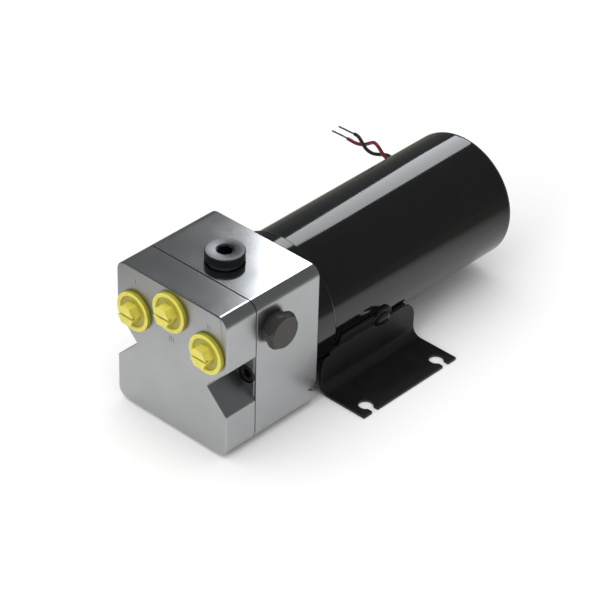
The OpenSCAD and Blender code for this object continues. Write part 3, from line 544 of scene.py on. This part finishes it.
def turned(stations, place, along, segments=96):
    """Points and faces of rings round an axis. A station is (radius, height) in mm; a radius may
    be a function of the angle, and a radius of 0 closes an end."""
    turn = Vector(along).to_track_quat("Z", "Y").to_matrix()
    points, faces, rings = [], [], []
    for radius, height in stations:
        if radius == 0:
            rings.append([len(points)])
            points.append(Vector(place) + turn @ Vector((0, 0, height)) * MM)
            continue
        rings.append(list(range(len(points), len(points) + segments)))
        for k in range(segments):
            a = 2 * math.pi * k / segments
            r = radius(a) if callable(radius) else radius
            points.append(Vector(place)
                          + turn @ Vector((r * math.cos(a), r * math.sin(a), height)) * MM)
    for low, high in zip(rings, rings[1:]):
        for k in range(segments):
            m = (k + 1) % segments
            if len(low) == 1:
                faces.append((low[0], high[k], high[m]))
            elif len(high) == 1:
                faces.append((low[k], low[m], high[0]))
            else:
                faces.append((low[k], low[m], high[m], high[k]))
    return points, faces


yellow = finish("yellow_moulding", (0.61, 0.55, 0.09), 0, 0.34, colour_change=0.08, patch=3,
                grain=0.3, relief=5)
yellow.node_tree.nodes["Principled BSDF"].inputs["Subsurface Weight"].default_value = 0.35
yellow.node_tree.nodes["Principled BSDF"].inputs["Subsurface Radius"].default_value = (1.6, 1.2, 0.2)
yellow.node_tree.nodes["Principled BSDF"].inputs["Subsurface Scale"].default_value = 1 * MM
# darker copy of the yellow for the flange's recess and outer side: painted shade, cast by the rim
# and on the side turned from the light
yellow_painted_shade = finish("painted_shade_yellow", (0.33, 0.30, 0.035), 0, 0.38, colour_change=0.08, patch=3,
                      grain=0.3, relief=5)
thread_pitch = 1.337
thread_r = 6.28
thread_root_r = 5.55


def thread_ring(height, inner, outer):
    """Radius round the turn of a thread's section at one height."""
    def radius(a):
        step = (height / thread_pitch - a / (2 * math.pi)) % 1
        return inner + (outer - inner) * min(1, max(0, 2.6 * abs(0.5 - step) - 0.15))
    return radius


def prism(corners, place, low, high):
    """Points and faces of a straight bar along -Y; corners are (x, z) in mm round its middle."""
    count = len(corners)
    points = [Vector(place) + Vector((x, -y, z)) * MM for y in (low, high) for x, z in corners]
    faces = [tuple(range(count)), tuple(range(2 * count - 1, count - 1, -1))]
    for k in range(count):
        m = (k + 1) % count
        faces.append((k, m, count + m, count + k))
    return points, faces


plug_flats = 8
plug_turn = math.radians(4)
slot_width = 1.4
slot_depth = 2.2
flange_height = 2
recess_height = 1.2
rim_width = 2


def port_plug(side):
    node = "port_plug_" + side
    body = "plug_" + side
    low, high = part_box(node)
    middle = Vector(((low.x + high.x) / 2, block_low.y, (low.z + high.z) / 2))
    shank = (high.y - block_low.y) / MM
    head = (block_low.y - low.y) / MM
    flange_r = (high.x - low.x) / 2 / MM
    threaded = [(0, 0), (thread_root_r, 0), (thread_root_r, 0.9)]
    rings_per_turn = 10
    count = int((shank - 2) / thread_pitch * rings_per_turn)
    for i in range(count + 1):
        h = 0.95 + i * (shank - 2) / count
        threaded.append((thread_ring(h, thread_root_r, thread_r), h))
    threaded += [(thread_root_r, shank - 0.9), (thread_root_r - 0.6, shank - 0.1), (4.2, shank),
                 (4, shank - 0.4), (3.9, shank - 7), (0, shank - 7.2)]
    points, faces = turned(threaded, middle, (0, 1, 0), 72)
    inner_r = flange_r - rim_width
    rim = [(0, 0), (flange_r - 0.2, 0), (flange_r, 0.2), (flange_r, flange_height - 0.35),
           (flange_r - 0.12, flange_height - 0.12), (flange_r - 0.35, flange_height),
           (inner_r + 0.3, flange_height), (inner_r + 0.08, flange_height - 0.12),
           (inner_r - 0.05, recess_height + 0.2), (inner_r - 0.25, recess_height),
           (0, recess_height)]
    add_shape(points, faces, turned(rim, middle, (0, -1, 0), 96))
    plug = piece_from(node + "_moulding", points, faces, yellow, body, 32)
    # the recess inside the rim and the flange's outer side take the darker yellow: painted shade
    plug.data.materials.append(yellow_painted_shade)
    for face in plug.data.polygons:
        reach = (face.center - middle) / MM
        across = math.hypot(reach.x, reach.z)
        recessed = across < inner_r - 0.1 and -recess_height - 0.3 < reach.y < -0.5
        outer_side = across > flange_r - 0.1 and abs(face.normal.y) < 0.5
        face.material_index = 1 if recessed or outer_side else 0
    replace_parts(plug, node)

    corner = plug_flats / 2 / math.cos(math.pi / 6)
    corners = [(corner * math.cos(plug_turn + k * math.pi / 3),
                corner * math.sin(plug_turn + k * math.pi / 3)) for k in range(6)]
    points, faces = prism(corners, middle, recess_height - 0.3, head)
    hexagon_mesh = bpy.data.meshes.new(node + "_head")
    hexagon_mesh.from_pydata(points, [], faces)
    half_slot = slot_width / 2
    slot = [(-6, -half_slot), (6, -half_slot), (6, half_slot), (-6, half_slot)]
    points, faces = prism(slot, middle, head - slot_depth, head + 1)
    hexagon_mesh = cut_away(hexagon_mesh, points, faces)
    hexagon_mesh.materials.clear()
    hexagon_mesh.materials.append(yellow)
    head_piece = bpy.data.objects.new(node + "_head", hexagon_mesh)
    scene.collection.objects.link(head_piece)
    break_edges(head_piece, 0.22, segments=3)
    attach(head_piece, body)
    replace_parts(head_piece, node)


for side in ("left", "tank", "right"):
    port_plug(side)

# tapped threads in the three ports, seen when a plug is out
bore_r = 6.5
tapped_from = 1
tapped_length = 9
points, faces = [], []
for side in ("left", "tank", "right"):
    low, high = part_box("port_plug_" + side)
    middle = Vector(((low.x + high.x) / 2, block_low.y, (low.z + high.z) / 2))
    tapped = [(bore_r + 0.05, tapped_from)]
    rings_per_turn = 8
    count = int(tapped_length / thread_pitch * rings_per_turn)
    for i in range(count + 1):
        h = tapped_from + 0.05 + i * tapped_length / count
        tapped.append((thread_ring(h, bore_r - 0.03, bore_r - 0.14), h))
    tapped += [(bore_r + 0.05, tapped_from + tapped_length + 0.1), (bore_r + 0.05, tapped_from)]
    add_shape(points, faces, turned(tapped, middle, (0, 1, 0), 60))
piece_from("port_threads", points, faces, machined, "housing", 32)


# ---- block plugs and screws -----------------------------------------------------------------
# Steel screw plugs and socket screws: turned, phosphated or black oxidised, with chamfered
# heads; the cap screws' heads are knurled for the fingers.

def hexagon(flats):
    """Radius function of a hexagon of that width across flats, a corner at angle 0."""
    def radius(a):
        return flats / 2 / math.cos((a % (math.pi / 3)) - math.pi / 6)
    return radius


def smaller_of(radius, limit):
    return lambda a: min(radius(a), limit)


plug_grey = finish("phosphated_plug", (0.115, 0.118, 0.122), 1, 0.30, colour_change=0.06,
                   rough_change=0.05, patch=3, grain=0.2, relief=2)
low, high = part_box("top_plug")
plug_middle = Vector(((low.x + high.x) / 2, (low.y + high.y) / 2, high.z))
collar_r = (high.x - low.x) / 2 / MM
socket = hexagon(6)
points, faces = turned(
    [(0, -11.9), (5.9, -11.9), (6.3, -11.5), (6.3, -4.2), (collar_r - 0.35, -4.2),
     (collar_r, -3.9), (collar_r, -0.42), (collar_r - 0.12, -0.16), (collar_r - 0.42, 0),
     (4.15, 0), (3.95, -0.05), (smaller_of(socket, 3.47), -0.55), (socket, -0.7), (socket, -4.6),
     (0, -5.2)], plug_middle, (0, 0, 1), 120)
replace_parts(piece_from("top_plug_turned", points, faces, plug_grey, "housing", 20),
            "top_plug")
bonded_seal = finish("bonded_seal", (0.20, 0.20, 0.205), 0.8, 0.35, patch=1.5, grain=0.2, relief=3)
seal_low, seal_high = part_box("top_plug_seal")
seal_height = (seal_high.z - seal_low.z) / MM
washer = [(6.35, 0), (collar_r - 0.9, 0), (collar_r - 0.9, seal_height), (6.35, seal_height),
          (6.35, 0)]
points, faces = turned(washer, (plug_middle.x, plug_middle.y, seal_low.z), (0, 0, 1), 96)
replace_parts(piece_from("top_plug_washer", points, faces, bonded_seal, "housing",
                       30), "top_plug_seal")

side_grey = finish("dark_plug", (0.052, 0.050, 0.047), 0.5, 0.42, colour_change=0.12,
                   rough_change=0.08, patch=2.5, grain=0.2, relief=3)
hexagon_lean = 17
hex_head = hexagon(15)
washer = [(6.35, 0), (7.0, 0), (7.0, 0.8), (6.35, 0.8), (6.35, 0)]
washer_points, washer_faces = [], []
for side, out in (("right", 1), ("left", -1)):
    low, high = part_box("side_plug_" + side)
    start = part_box("pump_block")[1].x * out
    middle = Vector((start, (low.y + high.y) / 2, (low.z + high.z) / 2))
    turn = math.radians(90 - hexagon_lean * out)

    def turned_hex(a, turn=turn):
        return hex_head(a + turn)
    points, faces = turned(
        [(0, -8.5), (5.9, -8.5), (6.3, -8.1), (6.3, 0.8), (7.1, 0.8), (7.3, 1.0), (7.3, 2.0),
         (7.1, 2.2), (smaller_of(turned_hex, 8.1), 2.25), (turned_hex, 2.7),
         (turned_hex, 5.2), (smaller_of(turned_hex, 8.0), 5.7), (smaller_of(turned_hex, 7.3), 6.3),
         (7.1, 6.4), (0, 6.4)], middle, (out, 0, 0), 120)
    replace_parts(piece_from("side_plug_" + side + "_turned", points, faces, side_grey, "housing",
                           20), "side_plug_" + side)
    add_shape(washer_points, washer_faces, turned(washer, middle, (out, 0, 0), 72))
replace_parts(piece_from("side_plug_washers", washer_points, washer_faces, side_grey, "housing",
                       30), "side_plug_seals")

# its outer edges are painted lighter: painted highlight and wear
black_oxide = finish("black_oxide", (0.030, 0.030, 0.032), 0.7, 0.34, colour_change=0.2,
                     rough_change=0.08, patch=1.5, grain=0.15, relief=3, edge_highlight_and_wear=0.4)


cap_head_r = 4.25
cap_head_height = 5


def cap_screw(place, along, length):
    """Points and faces of an M5 socket screw: place is the seat, along points out of the head."""
    knurl = 48

    def serrated(a):
        return cap_head_r - 0.16 * abs(((a * knurl / (2 * math.pi)) % 1) * 2 - 1)
    key = hexagon(4)
    stations = [(0, -length), (2.0, -length), (2.45, -length + 0.6), (2.45, 0), (4.0, 0),
                (4.1, 0.25), (serrated, 0.5), (serrated, 4.4), (4.05, 4.62), (3.7, 4.95),
                (3.4, cap_head_height), (2.55, cap_head_height), (smaller_of(key, 2.28), 4.75),
                (key, 4.55), (key, 2.5), (0, 2.1)]
    return turned(stations, place, along, 144)


for node, along in (("block_screws", (0, -1, 0)), ("corner_screws", (0, 1, 0))):
    low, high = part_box(node)
    reach_x = high.x - cap_head_r * MM
    heights = ([(low.z + high.z) / 2] if node == "block_screws"
               else [low.z + cap_head_r * MM, high.z - cap_head_r * MM])
    seat = low.y + cap_head_height * MM if along[1] < 0 else high.y - cap_head_height * MM
    length = (high.y - low.y) / MM - cap_head_height
    points, faces = [], []
    for x in (-reach_x, reach_x):
        for z in heights:
            add_shape(points, faces, cap_screw((x, seat, z), along, length))
    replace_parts(piece_from(node + "_turned", points, faces, black_oxide, "housing",
                           30), node)


# ---- motor ----------------------------------------------------------------------------------
# Deep-drawn steel can on a turned flange, both with a gloss black powder coat; two countersunk
# screws through the rear face clamp the can to the flange.

gloss_black = finish("gloss_black_coat", (0.004, 0.004, 0.0042), 0, 0.075, colour_change=0.15,
                     rough_change=0.02, patch=8, grain=1.1, relief=0.5)
softened("motor_flange", "housing", gloss_black, 0.3)
finish_node("motor_can", gloss_black)
finish_node("tie_screws", black_oxide)


# ---- foot -----------------------------------------------------------------------------------
# Pressed and bent sheet steel, welded to a saddle under the can, with a satin black powder coat
# and open keyholes; two domed slotted screws hold it to the can.

satin_black = finish("satin_black_coat", (0.008, 0.008, 0.009), 0, 0.48, colour_change=0.2,
                     rough_change=0.06, patch=6, grain=0.45, relief=6)
satin_black.node_tree.nodes["Principled BSDF"].inputs["Specular IOR Level"].default_value = 0.35
softened("foot_bracket", "housing", satin_black, 0.25, sharper_than=40)

can_r = (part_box("motor_can")[1].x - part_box("motor_can")[0].x) / 2 / MM
sheet = 1.5
ear_angle = math.radians(23)
ear_y = 7.4 * MM
screw_seat = can_r + sheet
dome_r = 3.8
dome_start = screw_seat + 0.9
dome_height = 1.5
slot_floor = screw_seat + 1.3
half_slot = 0.5
points, faces = [], []
for side in (1, -1):
    out = Vector((side * math.cos(ear_angle), 0, -math.sin(ear_angle)))
    domed = [(0, can_r - 2), (1.7, can_r - 2), (1.9, can_r - 1.8), (1.9, screw_seat),
             (3.7, screw_seat), (dome_r, screw_seat + 0.12), (dome_r, dome_start)]
    for k in range(1, 6):
        a = math.pi / 2 * k / 6
        domed.append((dome_r * math.cos(a), dome_start + dome_height * math.sin(a)))
    domed.append((0, dome_start + dome_height))
    screw_points, screw_faces = turned(domed, (0, ear_y, axis_z), out, 48)
    domed_mesh = bpy.data.meshes.new("domed")
    domed_mesh.from_pydata(screw_points, [], screw_faces)
    turn = out.to_track_quat("Z", "Y").to_matrix()
    slot_points = [Vector((0, ear_y, axis_z)) + turn @ Vector((x, y, height)) * MM
                   for height in (slot_floor, screw_seat + 4)
                   for x, y in ((-5, -half_slot), (5, -half_slot), (5, half_slot), (-5, half_slot))]
    slotted = cut_away(domed_mesh, slot_points, box_faces)
    add_shape(points, faces, ([v.co.copy() for v in slotted.vertices],
                              [tuple(face.vertices) for face in slotted.polygons]))
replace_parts(piece_from("bracket_screws_turned", points, faces, black_oxide, "housing",
                       30), "bracket_screws")


# ---- grommet --------------------------------------------------------------------------------
# Moulded rubber bush snapped into the can's side where the leads come out.

rubber = finish("black_rubber", (0.022, 0.022, 0.022), 0, 0.6, colour_change=0.2, patch=1.5,
                grain=0.2, relief=10)
lead_angle = math.radians(160)
lead_side = Vector((math.cos(lead_angle), 0, math.sin(lead_angle)))
grommet_y = 78 * MM
bush = [(0, can_r - 3.4), (3.0, can_r - 3.4), (3.35, can_r - 3.1), (3.4, can_r + 0.2),
        (4.1, can_r + 0.2), (4.3, can_r + 0.4), (4.3, can_r + 1.0), (4.15, can_r + 1.25),
        (3.8, can_r + 1.4), (0, can_r + 1.4)]
points, faces = turned(bush, (0, grommet_y, axis_z), lead_side, 48)
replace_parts(piece_from("lead_grommet_moulded", points, faces, rubber, "housing",
                       30), "lead_grommet")


# ---- inside ---------------------------------------------------------------------------------
# Pump, valve and motor internals: ground and hobbed steel, sintered bronze, ferrite magnets,
# stacked laminations, copper and carbon.

ground_steel = finish("ground_steel", (0.55, 0.55, 0.57), 1, 0.2, colour_change=0.05, patch=3,
                      grain=0.1, relief=0.8, stretch=(1, 0.1, 1))
gear_steel = finish("hobbed_steel", (0.48, 0.49, 0.51), 1, 0.28, colour_change=0.08, patch=2,
                    grain=0.15, relief=1.5)
bronze = finish("sintered_bronze", (0.52, 0.34, 0.14), 1, 0.42, colour_change=0.14, patch=1,
                grain=0.12, relief=4)
seal_rubber = finish("seal_rubber", (0.02, 0.02, 0.021), 0, 0.5, patch=1.5, grain=0.2, relief=6)
ferrite = finish("sintered_ferrite", (0.035, 0.035, 0.038), 0.2, 0.55, patch=3, grain=0.2, relief=8)
laminations = finish("stacked_laminations", (0.22, 0.22, 0.24), 1, 0.4, patch=3, grain=0.5,
                     relief=6, stretch=(0.02, 1, 0.02))
copper = finish("enamelled_copper", (0.52, 0.20, 0.07), 1, 0.3, patch=1.5, grain=0.3, relief=5)
phenolic = finish("phenolic_sheet", (0.15, 0.075, 0.03), 0, 0.45, patch=1.5, grain=0.2, relief=5)
carbon = finish("pressed_carbon", (0.03, 0.03, 0.033), 0.3, 0.5, patch=1, grain=0.15, relief=5)
spring_wire = finish("spring_wire", (0.45, 0.45, 0.47), 1, 0.25, patch=1, grain=0.1, relief=1)

inside = {
    "face_seal": seal_rubber, "port_seals": seal_rubber, "shaft_seal": seal_rubber,
    "front_bushes": bronze, "rear_bushes": bronze, "check_seats": bronze,
    "drive_shaft": ground_steel, "driven_shaft": ground_steel, "armature_shaft": ground_steel,
    "drive_gear": gear_steel, "driven_gear": gear_steel, "coupling": gear_steel,
    "pilot_spool": ground_steel, "check_poppet_right": ground_steel,
    "check_poppet_left": ground_steel, "relief_ball_right": ground_steel,
    "relief_ball_left": ground_steel, "bearing_outer_rings": ground_steel,
    "bearing_inner_rings": ground_steel, "bearing_balls": ground_steel,
    "dowel_pins": ground_steel, "magnets": ferrite, "armature_core": laminations, "windings": copper,
    "commutator": copper, "brush_plate": phenolic, "brush_right": carbon, "brush_left": carbon,
    "preload_washer": spring_wire,
}
for node, material in inside.items():
    finish_node(node, material)


def coil_spring(node, body, along, radius, wire, turns):
    """Coil spring wound in the place of its CAD node."""
    low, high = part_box(node)
    middle = (low + high) / 2
    axis = Vector(along)
    length = abs((high - low).dot(axis)) / MM - 2 * wire
    side = axis.orthogonal().normalized()
    other = axis.cross(side)
    steps = 24
    line = []
    for i in range(turns * steps + 1):
        a = 2 * math.pi * i / steps
        # the turns lie closer together towards both ends
        share = i / (turns * steps)
        spread = share * share * (3 - 2 * share) * 0.35 + share * 0.65
        line.append(middle + (axis * (spread - 0.5) * length + side * radius * math.cos(a)
                              + other * radius * math.sin(a)) * MM)
    points, faces = sweep(line, [wire * MM] * len(line), 10)
    spring = piece_from(node + "_wound", points, faces, spring_wire, body)
    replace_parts(spring, node)
    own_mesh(spring)


for side, out in (("right", 1), ("left", -1)):
    middle = sum(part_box("check_spring_" + side), Vector()) / 2
    coil_spring("check_spring_" + side, "housing", (1, 0, 0), 3.4, 0.45, 4)
    middle = sum(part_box("relief_spring_" + side), Vector()) / 2
    coil_spring("relief_spring_" + side, "housing", (0, 1, 0), 2, 0.4, 4)
    middle = sum(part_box("brush_spring_" + side), Vector()) / 2
    coil_spring("brush_spring_" + side, "housing", (1, 0, 0), 2.8, 0.35, 3)
